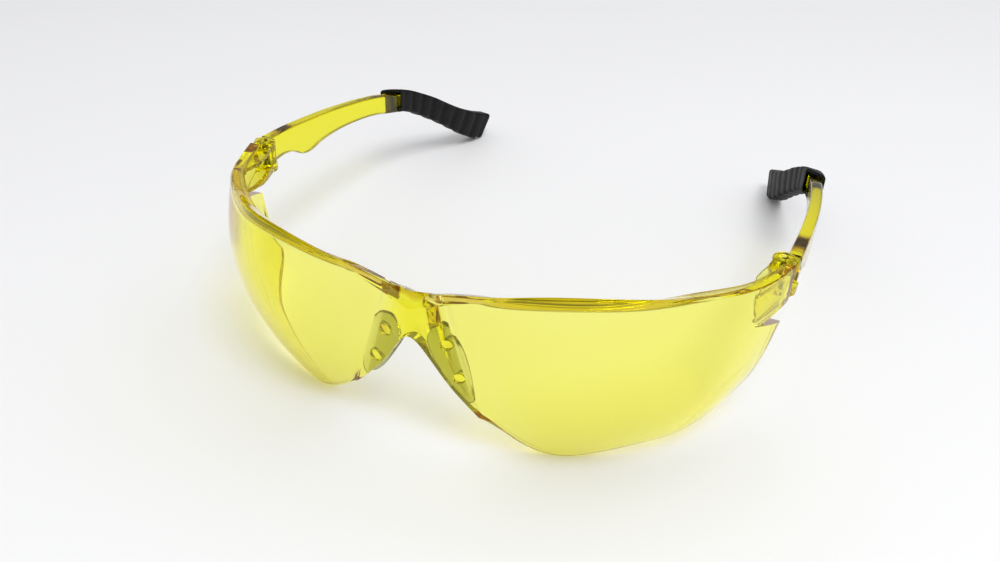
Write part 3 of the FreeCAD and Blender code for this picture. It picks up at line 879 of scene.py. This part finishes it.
def floor_material():
    material, nodes, links, shader = new_material("table_white")
    colour = ramp(nodes, links, noise(nodes, links, 3), *FLOOR)
    links.new(colour, shader.inputs["Base Color"])
    shader.inputs["Roughness"].default_value = 0.6
    return material


# ---- assembling -----------------------------------------------------------------------------------
def finish_piece(obj, material, slot, body, *nodes):
    obj.data.materials.clear()
    obj.data.materials.append(material)
    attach(obj, body)
    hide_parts(*nodes)


def build_glasses():
    shield = make_shield()
    wall = wall_finder(shield)
    yellow, arm_yellow, end_yellow = lens_material(), arm_material(), bracket_material()
    vinyl, rubber, steel = pad_material(), rubber_material(), steel_material()
    finish_piece(shield, yellow, "lens", "front", "lens")
    for word, side in (("left", 1), ("right", -1)):
        body = "temple_" + word
        pad = make_nose_pad(side, "pad_" + word)
        finish_piece(pad, vinyl, "nose_pad", "front", "nose_pad_" + word)
        end_piece = make_bracket(side, "end_piece_" + word, wall)
        finish_piece(end_piece, end_yellow, "end_piece", "front", "hinge_bracket_" + word)
        pin = make_pin(side, "pin_" + word)
        finish_piece(pin, steel, "pin", "front", "hinge_pin_" + word)
        arm = make_temple(side, "arm_" + word)
        finish_piece(arm, arm_yellow, "temple", body, "temple_" + word)
        tip = make_tip(side, "tip_" + word)
        finish_piece(tip, rubber, "tip", body, "temple_tip_" + word)


FLOOR_REACH = 3.0
FLOOR_DROP = 0.00005


def make_floor():
    mesh = bpy.data.meshes.new("table")
    corners = [(x * FLOOR_REACH, y * FLOOR_REACH, 0) for x, y in ((-1, -1), (1, -1), (1, 1), (-1, 1))]
    mesh.from_pydata(corners, [], [(0, 1, 2, 3)])
    floor = bpy.data.objects.new("table", mesh)
    bpy.context.scene.collection.objects.link(floor)
    floor.location.z = -FLOOR_DROP
    mesh.materials.append(floor_material())


def area_light(name, place_at, target, size, power):
    lamp = bpy.data.lights.new(name, "AREA")
    lamp.shape = "RECTANGLE"
    lamp.size, lamp.size_y = size
    lamp.energy = power
    obj = bpy.data.objects.new(name, lamp)
    bpy.context.scene.collection.objects.link(obj)
    obj.location = place_at
    obj.rotation_euler = (Vector(target) - Vector(place_at)).to_track_quat("-Z", "Y").to_euler()


# How brightly the room lights things, and how brightly it shows as a reflection in them.
ROOM_LIGHT = 0.71
ROOM_REFLECTION = 0.28


def make_light():
    world = bpy.data.worlds.new("studio")
    world.use_nodes = True
    world.node_tree.nodes["Background"].inputs["Color"].default_value = (0.985, 0.99, 1.0, 1)
    nodes, links = world.node_tree.nodes, world.node_tree.links
    mirrored = nodes.new("ShaderNodeLightPath").outputs["Is Glossy Ray"]
    strength = to_range(nodes, links, mirrored, ROOM_LIGHT, ROOM_REFLECTION)
    links.new(strength, nodes["Background"].inputs["Strength"])
    bpy.context.scene.world = world
    area_light("key", (0.36, -0.36, 0.96), target=(0, 0, 0), size=(0.4, 0.4), power=5.3)
    area_light("fill", (0.5, 0.6, 0.9), target=(0.1, 0.3, 0), size=(0.6, 0.6), power=0.8)


EYE = (70.5, -148.8, 138.3)
YAW, PITCH, ROLL = math.radians(-21.6), math.radians(32.9), math.radians(2.3)
FOCAL_LENGTH = 32.4


def make_camera():
    """Above and a little to the wearer's left, looking down at the glasses."""
    ahead = Vector((math.sin(YAW) * math.cos(PITCH), math.cos(YAW) * math.cos(PITCH), -math.sin(PITCH)))
    level = Vector((math.cos(YAW), -math.sin(YAW), 0))
    up = level.cross(ahead)
    right = level * math.cos(ROLL) + up * math.sin(ROLL)
    above = up * math.cos(ROLL) - level * math.sin(ROLL)
    lens = bpy.data.cameras.new("camera")
    lens.lens = FOCAL_LENGTH
    lens.sensor_width = 36.0
    lens.clip_start = 0.01
    camera = bpy.data.objects.new("camera", lens)
    bpy.context.scene.collection.objects.link(camera)
    turn = Matrix((right, above, -ahead)).transposed().to_4x4()
    camera.matrix_world = Matrix.Translation(place(EYE)) @ turn
    bpy.context.scene.camera = camera


BOUNCES = 96


def set_look():
    """Plain colour, and enough light bounces for thick clear plastic."""
    scene = bpy.context.scene
    scene.view_settings.view_transform = "Standard"
    scene.cycles.max_bounces = BOUNCES
    scene.cycles.transmission_bounces = BOUNCES
    scene.cycles.transparent_max_bounces = BOUNCES
    scene.cycles.glossy_bounces = BOUNCES


set_look()
make_camera()
make_light()
make_floor()
build_glasses()
